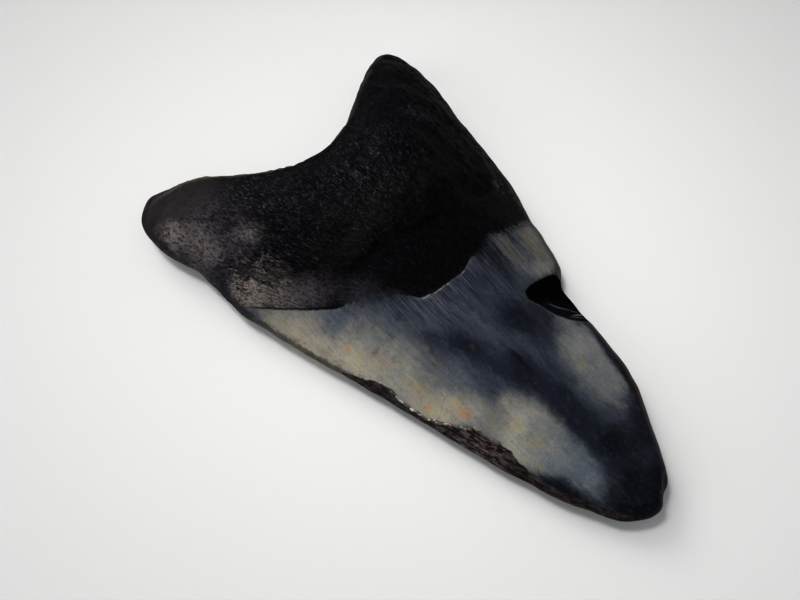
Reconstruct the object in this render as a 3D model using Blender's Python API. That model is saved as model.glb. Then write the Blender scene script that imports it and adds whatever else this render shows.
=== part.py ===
"""A fossil megalodon tooth, lying on its outer face with its inner face up, as one closed solid.

Metres, +Z up. +Y runs from the crown's tip to the root, and +X is to the right with the root at the top.
The origin is on the surface that the tooth lies on, under the middle of its box. The sizes below are in
millimetres, with x counted from the middle of the crown and y from its tip.
"""

import math

import bmesh
import bpy
import numpy as np
from mathutils import Vector, noise

MM = 0.001

# The outline from above, clockwise: along the root's base, down the right edge, round the tip, up the left.
ROOT_BASE = [
    (-33.8, 128.2),  # end of the left lobe
    (-27.3, 125.9),
    (-22.5, 122.0),  # corner of the worn facet
    (-17.3, 114.8),
    (-9.8, 108.8),
    (-2.0, 105.8),  # middle of the notch
    (6.5, 107.9),
    (15.1, 113.3),
    (23.0, 118.8),
    (31.0, 124.0),
]
RIGHT_EDGE = [
    (36.2, 126.0),  # end of the right lobe
    (39.6, 122.8),
    (40.8, 115.5),
    (39.8, 106.0),
    (37.8, 96.9),
    (36.2, 88.8),
    (34.6, 79.4),
    (32.5, 71.6),
    (29.8, 65.0),
    (27.8, 57.5),
    (25.0, 50.5),
    (21.2, 46.0),  # the chip bites in here
    (20.3, 41.0),
    (19.6, 36.0),
    (18.1, 28.0),
    (15.8, 20.4),
    (10.1, 11.0),
]
TIP = [
    (5.7, 4.3),  # the tip is blunt, with a small chip off its right corner
    (3.6, 2.0),
    (1.2, 1.0),
    (-1.2, -0.5),
    (-3.6, -0.4),
]
LEFT_EDGE = [
    (-7.6, 2.0),
    (-11.9, 8.6),
    (-16.1, 18.6),
    (-19.7, 30.5),
    (-22.9, 42.0),
    (-25.7, 52.5),
    (-28.7, 62.5),
    (-31.7, 72.5),
    (-34.6, 83.0),
    (-36.4, 92.0),
    (-36.4, 98.5),  # the crown's shoulder meets the root
    (-37.0, 104.6),
    (-39.1, 111.0),
    (-40.0, 118.0),
    (-38.4, 124.7),
]
EDGE_WOBBLE, EDGE_WOBBLE_SIZE = 0.35, 4.5

# Heights, each by its share of the way from the root's base to the tip.
CREST = [(0.0, 15.5), (0.05, 19.0), (0.12, 21.8), (0.2, 22.6), (0.28, 21.4), (0.34, 19.8), (0.41, 18.0),
         (0.5, 16.0), (0.65, 12.8), (0.8, 10.0), (0.92, 7.8), (1.0, 6.6)]
EDGE_HEIGHT = [(0.0, 5.5), (0.2, 5.0), (0.4, 4.4), (0.7, 3.8), (1.0, 4.2)]
EDGE_HALF = [(0.0, 3.6), (0.2, 2.8), (0.35, 2.2), (0.5, 1.7), (0.8, 1.4), (1.0, 1.5)]
EDGE_ROUND = [(0.0, 4.5), (0.25, 3.5), (0.4, 2.6), (1.0, 2.2)]
FULLNESS = [(0.0, 2.4), (0.3, 2.2), (0.45, 1.9), (1.0, 1.9)]  # power of the bulge across the inner face
FLAT = [(0.0, 0.72), (0.5, 0.62), (0.75, 0.4), (0.9, 0.05)]  # share of the width that lies flat
TIP_LIFTS_FROM = 0.78  # where the outer face starts to leave the surface

# Lines across the inner face, as y by x: where the enamel stops, and where the root's bone starts.
# Between them runs the neck band, which lies a little lower than both.
ENAMEL_LINE = [(-36.0, 91.0), (-32.5, 85.0), (-27.5, 78.5), (-23.0, 73.5), (-18.0, 69.5), (-12.0, 65.0),
               (-9.0, 61.3), (-6.5, 60.2), (-2.0, 59.7), (2.0, 59.8), (5.0, 61.0), (9.0, 61.5),
               (13.5, 63.5), (17.0, 62.8), (21.0, 63.2), (32.0, 64.0)]
ROOT_LINE = [(-36.5, 100.0), (-32.0, 95.0), (-27.0, 88.5), (-25.0, 82.0), (-22.5, 77.0), (-19.5, 74.0),
             (-12.0, 73.0), (0.0, 71.5), (12.0, 72.0), (24.0, 73.0), (33.0, 77.0)]
ENAMEL_STEP = [(-36.0, 0.15), (-18.0, 0.2), (-6.0, 0.4), (2.0, 0.35), (8.0, 0.1), (32.0, 0.1)]
BONE_STEP = [(-36.0, 0.8), (-22.0, 0.7), (-14.0, 0.2), (-6.0, 0.1), (33.0, 0.1)]
ENAMEL_STEP_RUN, BONE_STEP_RUN = 0.9, 2.2
BONE_WANDER = 4.0

ROOT_LUMPS = [(14.0, 1.1), (6.0, 0.55)]  # size and depth of the lumps and hollows in the bone
CROWN_LUMPS = [(18.0, 0.5)]
NOTCH_RIDGE, NOTCH_RIDGE_AT, NOTCH_RIDGE_RUN = 0.6, 3.0, 1.1
NECK_GROOVE, NECK_GROOVE_RUN = 0.5, 1.8  # across the outer face, where its enamel stops
FACET_AT, FACET_SLOPE, FACET_SOFT = (-30.0, 116.0, 13.4), (0.36, -0.46), 1.5  # worn plane on the left lobe

# Flakes knocked out of the right edge: middle, half length, half width, turn and depth.
FLAKES = [
    ((18.8, 45.4), 8.0, 4.2, -50.0, 3.2),
    ((13.9, 46.9), 4.4, 2.7, 0.0, 3.0),
    ((17.6, 44.4), 10.5, 6.2, -50.0, 0.9),
]
FLAKE_WALL_AT, FLAKE_WALL_RUN = 49.6, 1.5  # their steep upper side
TIP_FLAKES = [
    ((3.6, 1.8), 3.2, 2.0, 40.0, 1.2),
    ((-6.5, 1.0), 4.5, 1.8, -20.0, 1.0),
]
# Along the left edge the enamel has broken away, in a strip this wide by y, down to the core.
BROKEN_WIDTH = [(0.0, 0.9), (12.0, 0.9), (21.0, 1.2), (25.0, 2.1), (30.0, 3.0), (34.5, 3.5), (39.0, 1.8),
                (43.0, 0.8), (50.0, 1.0), (55.0, 1.8), (58.0, 1.0), (64.0, 0.0)]
BROKEN_DROP, BROKEN_RUN = 0.8, 0.4
BROKEN_RAGGED, BROKEN_RAGGED_SIZE = 0.3, 2.6

COLUMNS, ROWS = 150, 220
ROWS_AT_ENDS, ENDS_SHARE = 12, 0.05
SPLINE_STEPS = 12
TRIANGLES_KEPT = 0.068


def smooth_span(t, start, end, leave, arrive):
    """From the start to the end as t goes from 0 to 1, leaving and arriving with the given slopes."""
    return (
        (2 * t**3 - 3 * t**2 + 1) * start
        + (t**3 - 2 * t**2 + t) * leave
        + (3 * t**2 - 2 * t**3) * end
        + (t**3 - t**2) * arrive
    )


def smooth_loop(points):
    """A closed curve through the points, in even steps of each span."""
    here = np.array(points, float)
    there = np.roll(here, -1, axis=0)
    length = np.linalg.norm(there - here, axis=1)[:, None]
    slope = (there - here) / length
    length_before, slope_before = np.roll(length, 1, axis=0), np.roll(slope, 1, axis=0)
    tangent = (slope * length_before + slope_before * length) / (length + length_before)
    leave, arrive = tangent * length, np.roll(tangent, -1, axis=0) * length
    t = np.linspace(0, 1, SPLINE_STEPS, endpoint=False)[:, None]
    return np.vstack([smooth_span(t, *span) for span in zip(here, there, leave, arrive)])


def outline_sides():
    """The four sections of the outline, each with the point that the next one starts from."""
    sections = (ROOT_BASE, RIGHT_EDGE, TIP, LEFT_EDGE)
    loop = smooth_loop([point for section in sections for point in section])
    loop = np.vstack([loop, loop[:1]])
    ends = np.cumsum([0] + [len(section) * SPLINE_STEPS for section in sections])
    return [loop[start : end + 1] for start, end in zip(ends, ends[1:])]


def along(stretch, share):
    """Points at shares of a stretch's length."""
    steps = np.linalg.norm(np.diff(stretch, axis=0), axis=1)
    places = np.concatenate([[0], np.cumsum(steps)]) / steps.sum()
    return np.stack([np.interp(share, places, stretch[:, axis]) for axis in (0, 1)], axis=-1)


def plan(across, down, sides):
    """Where the grid's points lie from above: a patch filled in between the four sides."""
    base, right, tip, left = sides
    s, v = ((across + 1) / 2)[..., None], down[..., None]
    between_ends = (1 - v) * along(base, s[..., 0]) + v * along(tip[::-1], s[..., 0])
    between_edges = (1 - s) * along(left[::-1], down) + s * along(right, down)
    corners = (1 - v) * ((1 - s) * base[0] + s * base[-1]) + v * ((1 - s) * tip[-1] + s * tip[0])
    return between_ends + between_edges - corners


def distance_to(stretch, place):
    """How far each point of the grid is from a stretch of the outline."""
    nearest = np.full(place.shape[:-1], np.inf)
    for start, end in zip(stretch, stretch[1:]):
        span = end - start
        t = np.clip(((place - start) @ span) / (span @ span), 0, 1)
        nearest = np.minimum(nearest, np.linalg.norm(place - start - t[..., None] * span, axis=-1))
    return nearest


def through(stations, place):
    """The value at a place on the smooth curve through some stations, level beyond its ends."""
    places, values = np.array(stations).T
    slopes = np.gradient(values, places)
    n = np.clip(np.searchsorted(places, place) - 1, 0, len(places) - 2)
    gap = places[n + 1] - places[n]
    t = np.clip((place - places[n]) / gap, 0, 1)
    return smooth_span(t, values[n], values[n + 1], slopes[n] * gap, slopes[n + 1] * gap)


def quarter_round(distance, radius):
    """0 at an edge, rising round a quarter circle to 1 at the radius."""
    t = np.clip(distance / radius, 0, 1)
    return np.sqrt(t * (2 - t))


def ease(t):
    t = np.clip(t, 0, 1)
    return t * t * (3 - 2 * t)


def hump(distance, run):
    return np.exp(-((distance / run) ** 2))


def soft_least(one, other, run):
    """The lesser of two heights, rounded off where they meet."""
    share = np.clip(0.5 + (other - one) / (2 * run), 0, 1)
    return other * (1 - share) + one * share - run * share * (1 - share)


def wavy(place, size, seed):
    """Smooth noise over the plan, from about -0.5 to 0.5, in lumps about as wide as the size."""
    shift = Vector((17.3 * seed, 9.1 * seed, 5.7 * seed))
    spots = place.reshape(-1, 2) / size
    return np.array([noise.noise(Vector((x, y, 0.0)) + shift) for x, y in spots]).reshape(place.shape[:-1])


def lumps(place, sizes_and_depths, seed):
    return sum(depth * wavy(place, size, seed + n) for n, (size, depth) in enumerate(sizes_and_depths))


def flake(place, middle, half_length, half_width, turn, depth):
    """The depth of a shell-shaped scar, deepest in its middle."""
    angle = math.radians(turn)
    x, y = place[..., 0] - middle[0], place[..., 1] - middle[1]
    lengthwise = (x * math.cos(angle) + y * math.sin(angle)) / half_length
    widthwise = (y * math.cos(angle) - x * math.sin(angle)) / half_width
    return depth * np.clip(1 - lengthwise**2 - widthwise**2, 0, 1) ** 0.6


def flakes(place, sizes):
    """The depth of several scars that run into each other."""
    return sum(flake(place, *size) ** 3 for size in sizes) ** (1 / 3)


def inner_relief(place, sides):
    """What stands out of the smooth inner face or is sunk in it."""
    x, y = place[..., 0], place[..., 1]
    in_enamel = ease((through(ENAMEL_LINE, x) - y) / ENAMEL_STEP_RUN)
    in_bone = ease((y - through(ROOT_LINE, x) - BONE_WANDER * wavy(place, 9.0, seed=3)) / BONE_STEP_RUN)
    relief = in_enamel * through(ENAMEL_STEP, x) + in_bone * through(BONE_STEP, x)
    relief += in_bone * lumps(place, ROOT_LUMPS, seed=1) + in_enamel * lumps(place, CROWN_LUMPS, seed=5)
    relief += NOTCH_RIDGE * hump(distance_to(sides[0], place) - NOTCH_RIDGE_AT, NOTCH_RIDGE_RUN)

    wall = ease((FLAKE_WALL_AT - y) / FLAKE_WALL_RUN)
    relief -= wall * flakes(place, FLAKES) + flakes(place, TIP_FLAKES)

    ragged = BROKEN_RAGGED * wavy(place, BROKEN_RAGGED_SIZE, seed=8)
    width = through(BROKEN_WIDTH, y)
    broken = ease((width * (1 + ragged) - distance_to(sides[3], place)) / BROKEN_RUN) * (width > 0)
    return relief - BROKEN_DROP * broken


def faces_of_tooth(across, down, sides):
    """The inner (upper) and the outer (lower) face, as grids of points."""
    place = plan(across, down, sides)
    from_edge = np.minimum.reduce([distance_to(side, place) for side in sides])
    rim = quarter_round(from_edge, through(EDGE_ROUND, down))

    edge, half = through(EDGE_HEIGHT, down), through(EDGE_HALF, down)
    bulge = 1 - np.abs(across) ** through(FULLNESS, down)
    rise = half + (through(CREST, down) - edge - half) * bulge
    rise += inner_relief(place, sides)
    facet = FACET_AT[2] + (place - FACET_AT[:2]) @ FACET_SLOPE
    inner = edge + rim * np.maximum(soft_least(rise, facet - edge, FACET_SOFT), half / 2)

    flat = through(FLAT, down)
    away = np.clip((np.abs(across) - flat) / (1 - flat), 0, 1) ** 2
    lift = np.clip((down - TIP_LIFTS_FROM) / (1 - TIP_LIFTS_FROM), 0, 1) ** 2
    under = (edge - half) * (1 - (1 - away) * (1 - lift))
    neck = 80 + 0.009 * place[..., 0] ** 2
    under += NECK_GROOVE * hump(place[..., 1] - neck, NECK_GROOVE_RUN)
    outer = under + (edge - under) * (1 - rim)

    place[..., 0] += EDGE_WOBBLE * wavy(place, EDGE_WOBBLE_SIZE, seed=11)
    return np.dstack([place, inner]), np.dstack([place, outer])


def grid():
    """Across from -1 to 1 and down from 0 to 1, closer together near the edges."""
    columns = -np.cos(np.linspace(0, math.pi, COLUMNS + 1))
    turn = 1 - np.cos(np.linspace(0, math.pi / 2, ROWS_AT_ENDS + 1))
    body = np.linspace(ENDS_SHARE, 1 - ENDS_SHARE, ROWS + 1)
    rows = np.concatenate([ENDS_SHARE * turn[:-1], body, 1 - ENDS_SHARE * turn[-2::-1]])
    return np.meshgrid(columns, rows, indexing="ij")


def sheet(mesh, points, upward):
    """Adds a grid of points to a bmesh as quads that face up or down."""
    verts = [[mesh.verts.new(point) for point in column] for column in points]
    for left, right in zip(verts, verts[1:]):
        for a, b, c, d in zip(left, left[1:], right[1:], right):
            mesh.faces.new((a, b, c, d) if upward else (d, c, b, a))


def fossil_material():
    """Black bone and slate enamel, taken as one dark polished stone."""
    material = bpy.data.materials.new("fossil")
    material.use_nodes = True
    shader = material.node_tree.nodes["Principled BSDF"]
    shader.inputs["Base Color"].default_value = (0.03, 0.033, 0.042, 1.0)
    shader.inputs["Roughness"].default_value = 0.42
    shader.inputs["Metallic"].default_value = 0.0
    return material


def tooth():
    across, down = grid()
    inner, outer = faces_of_tooth(across, down, outline_sides())
    middle = (inner.min((0, 1)) + inner.max((0, 1))) / 2
    middle[2] = 0
    shape = bmesh.new()
    sheet(shape, (inner - middle) * MM, upward=True)
    sheet(shape, (outer - middle) * MM, upward=False)
    bmesh.ops.remove_doubles(shape, verts=shape.verts, dist=1e-6)
    bmesh.ops.recalc_face_normals(shape, faces=shape.faces)
    mesh = bpy.data.meshes.new("tooth")
    shape.to_mesh(mesh)
    shape.free()
    mesh.materials.append(fossil_material())
    mesh.shade_smooth()
    made = bpy.data.objects.new("tooth", mesh)
    bpy.context.scene.collection.objects.link(made)
    thin = made.modifiers.new("thin out where it is smooth", "DECIMATE")
    thin.ratio = TRIANGLES_KEPT
    return made


def clear_scene():
    for old in list(bpy.data.objects):
        bpy.data.objects.remove(old)


clear_scene()
tooth()
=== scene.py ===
"""The look of a fossil megalodon tooth that lies on its outer face, with its stage, lights and camera."""

import math

import bmesh
import bpy
import numpy as np
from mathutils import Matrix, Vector, noise


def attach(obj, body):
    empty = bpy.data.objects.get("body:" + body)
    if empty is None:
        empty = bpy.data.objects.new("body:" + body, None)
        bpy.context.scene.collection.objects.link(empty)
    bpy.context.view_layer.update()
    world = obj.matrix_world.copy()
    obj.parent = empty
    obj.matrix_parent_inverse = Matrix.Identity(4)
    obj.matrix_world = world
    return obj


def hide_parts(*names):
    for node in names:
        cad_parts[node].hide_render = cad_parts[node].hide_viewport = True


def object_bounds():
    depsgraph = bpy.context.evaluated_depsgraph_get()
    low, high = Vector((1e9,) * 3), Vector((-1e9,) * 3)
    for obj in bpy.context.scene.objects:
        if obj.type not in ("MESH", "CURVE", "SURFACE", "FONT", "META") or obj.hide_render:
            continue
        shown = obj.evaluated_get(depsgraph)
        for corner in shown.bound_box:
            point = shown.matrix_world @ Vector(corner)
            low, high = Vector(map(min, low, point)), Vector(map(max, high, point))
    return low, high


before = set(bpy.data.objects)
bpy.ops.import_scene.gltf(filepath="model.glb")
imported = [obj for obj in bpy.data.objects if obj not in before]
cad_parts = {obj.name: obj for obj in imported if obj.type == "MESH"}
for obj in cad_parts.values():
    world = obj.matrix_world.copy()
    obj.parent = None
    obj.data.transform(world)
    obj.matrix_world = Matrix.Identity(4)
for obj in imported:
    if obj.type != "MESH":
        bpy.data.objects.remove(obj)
cad_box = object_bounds()

MM = 0.001

# ---------------------------------------------------------------------------
# The shape. Sizes are in millimetres, with x from the middle of the crown and y up from its tip.

# The outline from above, clockwise: along the root's base, down the right edge, round the tip, up the left.
ROOT_BASE = [
    (-33.8, 128.2),  # end of the left lobe
    (-27.3, 125.9),
    (-22.5, 122.0),  # corner of the worn facet
    (-17.3, 114.8),
    (-9.8, 108.8),
    (-2.0, 105.8),  # middle of the notch
    (6.5, 107.9),
    (15.1, 113.3),
    (23.0, 118.8),
    (31.0, 124.0),
]
RIGHT_EDGE = [
    (36.2, 126.0),  # end of the right lobe
    (39.6, 122.8),
    (40.8, 115.5),
    (39.8, 106.0),
    (37.8, 96.9),
    (36.2, 88.8),
    (34.6, 79.4),
    (32.5, 71.6),
    (29.8, 65.0),
    (27.8, 57.5),
    (25.0, 50.5),
    (21.2, 46.0),  # the chip bites in here
    (20.3, 41.0),
    (19.6, 36.0),
    (18.1, 28.0),
    (15.8, 20.4),
    (10.1, 11.0),
]
TIP = [
    (5.7, 4.3),  # the tip is blunt, with a small chip off its right corner
    (3.6, 2.0),
    (1.2, 1.0),
    (-1.2, -0.5),
    (-3.6, -0.4),
]
LEFT_EDGE = [
    (-7.6, 2.0),
    (-11.9, 8.6),
    (-16.1, 18.6),
    (-19.7, 30.5),
    (-22.9, 42.0),
    (-25.7, 52.5),
    (-28.7, 62.5),
    (-31.7, 72.5),
    (-34.6, 83.0),
    (-36.4, 92.0),
    (-36.4, 98.5),  # the crown's shoulder meets the root
    (-37.0, 104.6),
    (-39.1, 111.0),
    (-40.0, 118.0),
    (-38.4, 124.7),
]
EDGE_WOBBLE, EDGE_WOBBLE_SIZE = 0.35, 4.5

# Heights, each by its share of the way from the root's base to the tip.
CREST = [(0.0, 15.5), (0.05, 19.0), (0.12, 21.8), (0.2, 22.6), (0.28, 21.4), (0.34, 19.8), (0.41, 18.0),
         (0.5, 16.0), (0.65, 12.8), (0.8, 10.0), (0.92, 7.8), (1.0, 6.6)]
EDGE_HEIGHT = [(0.0, 5.5), (0.2, 5.0), (0.4, 4.4), (0.7, 3.8), (1.0, 4.2)]
EDGE_HALF = [(0.0, 3.6), (0.2, 2.8), (0.35, 2.2), (0.5, 1.7), (0.8, 1.4), (1.0, 1.5)]
EDGE_ROUND = [(0.0, 4.5), (0.25, 3.5), (0.4, 2.6), (1.0, 2.2)]
FULLNESS = [(0.0, 2.4), (0.3, 2.2), (0.45, 1.9), (1.0, 1.9)]  # power of the bulge across the inner face
FLAT = [(0.0, 0.72), (0.5, 0.62), (0.75, 0.4), (0.9, 0.05)]  # share of the width that lies flat
TIP_LIFTS_FROM = 0.78  # where the outer face starts to leave the surface

# Lines across the inner face, as y by x: where the enamel stops, and where the root's bone starts.
# Between them runs the neck band, which lies a little lower than both.
ENAMEL_LINE = [(-36.0, 91.0), (-32.5, 85.0), (-27.5, 78.5), (-23.0, 73.5), (-18.0, 69.5), (-12.0, 65.0),
               (-9.0, 61.3), (-6.5, 60.2), (-2.0, 59.7), (2.0, 59.8), (5.0, 61.0), (9.0, 61.5),
               (13.5, 63.5), (17.0, 62.8), (21.0, 63.2), (32.0, 64.0)]
ROOT_LINE = [(-36.5, 100.0), (-32.0, 95.0), (-27.0, 88.5), (-25.0, 82.0), (-22.5, 77.0), (-19.5, 74.0),
             (-12.0, 73.0), (0.0, 71.5), (12.0, 72.0), (24.0, 73.0), (33.0, 77.0)]
ENAMEL_STEP = [(-36.0, 0.15), (-18.0, 0.2), (-6.0, 0.4), (2.0, 0.35), (8.0, 0.1), (32.0, 0.1)]
BONE_STEP = [(-36.0, 0.8), (-22.0, 0.7), (-14.0, 0.2), (-6.0, 0.1), (33.0, 0.1)]
ENAMEL_STEP_RUN, BONE_STEP_RUN = 0.9, 2.2
BONE_WANDER, BONE_WANDER_SIZE = 4.0, 9.0

ROOT_LUMPS = [(14.0, 1.1), (6.0, 0.55)]  # size and depth of the lumps and hollows in the bone
CROWN_LUMPS = [(18.0, 0.5)]
NOTCH_RIDGE, NOTCH_RIDGE_AT, NOTCH_RIDGE_RUN = 0.6, 3.0, 1.1
NECK_GROOVE, NECK_GROOVE_RUN = 0.5, 1.8  # across the outer face, where its enamel stops
NECK_UNDER_AT, NECK_UNDER_CURVE, NECK_UNDER_BAND = 80.0, 0.009, 2.0
FACET_AT, FACET_SLOPE, FACET_SOFT = (-30.0, 116.0, 13.4), (0.36, -0.46), 1.5  # worn plane on the left lobe

# Flakes knocked out of the right edge: middle, half length, half width, turn and depth.
FLAKES = [
    ((18.8, 45.4), 8.0, 4.2, -50.0, 3.2),
    ((13.9, 46.9), 4.4, 2.7, 0.0, 3.0),
    ((17.6, 44.4), 10.5, 6.2, -50.0, 0.9),
]
FLAKE_WALL_AT, FLAKE_WALL_RUN = 49.6, 1.5  # their steep upper side
TIP_FLAKES = [
    ((3.6, 1.8), 3.2, 2.0, 40.0, 1.2),
    ((-6.5, 1.0), 4.5, 1.8, -20.0, 1.0),
]
# Along the left edge the enamel has broken away, in a strip this wide by y, down to the core.
BROKEN_WIDTH = [(0.0, 0.9), (12.0, 0.9), (21.0, 1.2), (25.0, 2.1), (30.0, 3.0), (34.5, 3.5), (39.0, 1.8),
                (43.0, 0.8), (50.0, 1.0), (55.0, 1.8), (58.0, 1.0), (64.0, 0.0)]
BROKEN_DROP, BROKEN_RUN = 0.8, 0.4
BROKEN_RAGGED, BROKEN_RAGGED_SIZE = 0.3, 2.6
# How far in from the left edge the outer face takes the raw broken colour: partly painted shade under the
# edge.
BROKEN_AND_SHADED_ROLL = 6.0
SCAR_BOWL, SCAR_JOIN = 0.6, 3  # powers: how bowl-like a scar is, and how scars run into each other
OUTSIDE = -9.0  # a zone's value well away from it

COLUMNS, ROWS = 190, 224
ROWS_AT_ENDS, ENDS_SHARE = 12, 0.05
SPLINE_STEPS = 12

# Fine relief that is only carried here: size and depth of each.
BONE_WEAVE = (1.3, 0.22)
BONE_PORES = (1.9, 0.3)
BONE_WRINKLES = (4.2, 0.5)
PORE_RIM, PORE_FLOOR = 0.34, 0.1  # how far a pore's rim and floor lie from its middle, in spacings
RELIEF_STRETCH = (1.0, 0.4, 1.0)  # weave and wrinkles run lengthwise
RELIEF_FULL_IN_BONE, RELIEF_FULL_FROM_EDGE = 3.0, 2.0


def smooth_span(t, start, end, leave, arrive):
    """From the start to the end as t goes from 0 to 1, leaving and arriving with the given slopes."""
    return (
        (2 * t**3 - 3 * t**2 + 1) * start
        + (t**3 - 2 * t**2 + t) * leave
        + (3 * t**2 - 2 * t**3) * end
        + (t**3 - t**2) * arrive
    )


def smooth_loop(points):
    """A closed curve through the points, in even steps of each span."""
    here = np.array(points, float)
    there = np.roll(here, -1, axis=0)
    length = np.linalg.norm(there - here, axis=1)[:, None]
    slope = (there - here) / length
    length_before, slope_before = np.roll(length, 1, axis=0), np.roll(slope, 1, axis=0)
    tangent = (slope * length_before + slope_before * length) / (length + length_before)
    leave, arrive = tangent * length, np.roll(tangent, -1, axis=0) * length
    t = np.linspace(0, 1, SPLINE_STEPS, endpoint=False)[:, None]
    return np.vstack([smooth_span(t, *span) for span in zip(here, there, leave, arrive)])


def outline_sides():
    """The four sections of the outline, each with the point that the next one starts from."""
    sections = (ROOT_BASE, RIGHT_EDGE, TIP, LEFT_EDGE)
    loop = smooth_loop([point for section in sections for point in section])
    loop = np.vstack([loop, loop[:1]])
    ends = np.cumsum([0] + [len(section) * SPLINE_STEPS for section in sections])
    return [loop[start : end + 1] for start, end in zip(ends, ends[1:])]


def along(stretch, share):
    """Points at shares of a stretch's length."""
    steps = np.linalg.norm(np.diff(stretch, axis=0), axis=1)
    places = np.concatenate([[0], np.cumsum(steps)]) / steps.sum()
    return np.stack([np.interp(share, places, stretch[:, axis]) for axis in (0, 1)], axis=-1)


def plan(across, down, sides):
    """Where the grid's points lie from above: a patch filled in between the four sides."""
    base, right, tip, left = sides
    s, v = ((across + 1) / 2)[..., None], down[..., None]
    between_ends = (1 - v) * along(base, s[..., 0]) + v * along(tip[::-1], s[..., 0])
    between_edges = (1 - s) * along(left[::-1], down) + s * along(right, down)
    corners = (1 - v) * ((1 - s) * base[0] + s * base[-1]) + v * ((1 - s) * tip[-1] + s * tip[0])
    return between_ends + between_edges - corners


def distance_to(stretch, place):
    """How far each point of the grid is from a stretch of the outline."""
    nearest = np.full(place.shape[:-1], np.inf)
    for start, end in zip(stretch, stretch[1:]):
        span = end - start
        t = np.clip(((place - start) @ span) / (span @ span), 0, 1)
        nearest = np.minimum(nearest, np.linalg.norm(place - start - t[..., None] * span, axis=-1))
    return nearest


def through(stations, place):
    """The value at a place on the smooth curve through some stations, level beyond its ends."""
    places, values = np.array(stations).T
    slopes = np.gradient(values, places)
    n = np.clip(np.searchsorted(places, place) - 1, 0, len(places) - 2)
    gap = places[n + 1] - places[n]
    t = np.clip((place - places[n]) / gap, 0, 1)
    return smooth_span(t, values[n], values[n + 1], slopes[n] * gap, slopes[n + 1] * gap)


def quarter_round(distance, radius):
    """0 at an edge, rising round a quarter circle to 1 at the radius."""
    t = np.clip(distance / radius, 0, 1)
    return np.sqrt(t * (2 - t))


def ease(t):
    t = np.clip(t, 0, 1)
    return t * t * (3 - 2 * t)


def hump(distance, run):
    return np.exp(-((distance / run) ** 2))


def soft_least(one, other, run):
    """The lesser of two heights, rounded off where they meet."""
    share = np.clip(0.5 + (other - one) / (2 * run), 0, 1)
    return other * (1 - share) + one * share - run * share * (1 - share)


def wavy(place, size, seed):
    """Smooth noise over the plan, from about -0.5 to 0.5, in lumps about as wide as the size."""
    shift = Vector((17.3 * seed, 9.1 * seed, 5.7 * seed))
    spots = place.reshape(-1, 2) / size
    return np.array([noise.noise(Vector((x, y, 0.0)) + shift) for x, y in spots]).reshape(place.shape[:-1])


def lumps(place, sizes_and_depths, seed):
    return sum(depth * wavy(place, size, seed + n) for n, (size, depth) in enumerate(sizes_and_depths))


def flake(place, middle, half_length, half_width, turn, depth):
    """The depth of a shell-shaped scar, deepest in its middle."""
    angle = math.radians(turn)
    x, y = place[..., 0] - middle[0], place[..., 1] - middle[1]
    lengthwise = (x * math.cos(angle) + y * math.sin(angle)) / half_length
    widthwise = (y * math.cos(angle) - x * math.sin(angle)) / half_width
    return depth * np.clip(1 - lengthwise**2 - widthwise**2, 0, 1) ** SCAR_BOWL


def flakes(place, sizes):
    """The depth of several scars that run into each other."""
    return sum(flake(place, *size) ** SCAR_JOIN for size in sizes) ** (1 / SCAR_JOIN)


def inner_relief(place, zones):
    """What stands out of the smooth inner face or is sunk in it. It also fills in the zones' masks."""
    x, y = place[..., 0], place[..., 1]
    zones["enamel"] = through(ENAMEL_LINE, x) - y
    zones["bone"] = y - through(ROOT_LINE, x) - BONE_WANDER * wavy(place, BONE_WANDER_SIZE, seed=3)
    in_enamel, in_bone = ease(zones["enamel"] / ENAMEL_STEP_RUN), ease(zones["bone"] / BONE_STEP_RUN)
    relief = in_enamel * through(ENAMEL_STEP, x) + in_bone * through(BONE_STEP, x)
    relief += in_bone * lumps(place, ROOT_LUMPS, seed=1) + in_enamel * lumps(place, CROWN_LUMPS, seed=5)
    relief += NOTCH_RIDGE * hump(zones["from_base"] - NOTCH_RIDGE_AT, NOTCH_RIDGE_RUN)

    wall = ease((FLAKE_WALL_AT - y) / FLAKE_WALL_RUN)
    zones["flaked"] = wall * flakes(place, FLAKES) + flakes(place, TIP_FLAKES)

    ragged = BROKEN_RAGGED * wavy(place, BROKEN_RAGGED_SIZE, seed=8)
    width = through(BROKEN_WIDTH, y)
    zones["broken"] = np.where(width > 0, width * (1 + ragged) - zones["from_left"], OUTSIDE)
    return relief - zones["flaked"] - BROKEN_DROP * ease(zones["broken"] / BROKEN_RUN)


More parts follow.
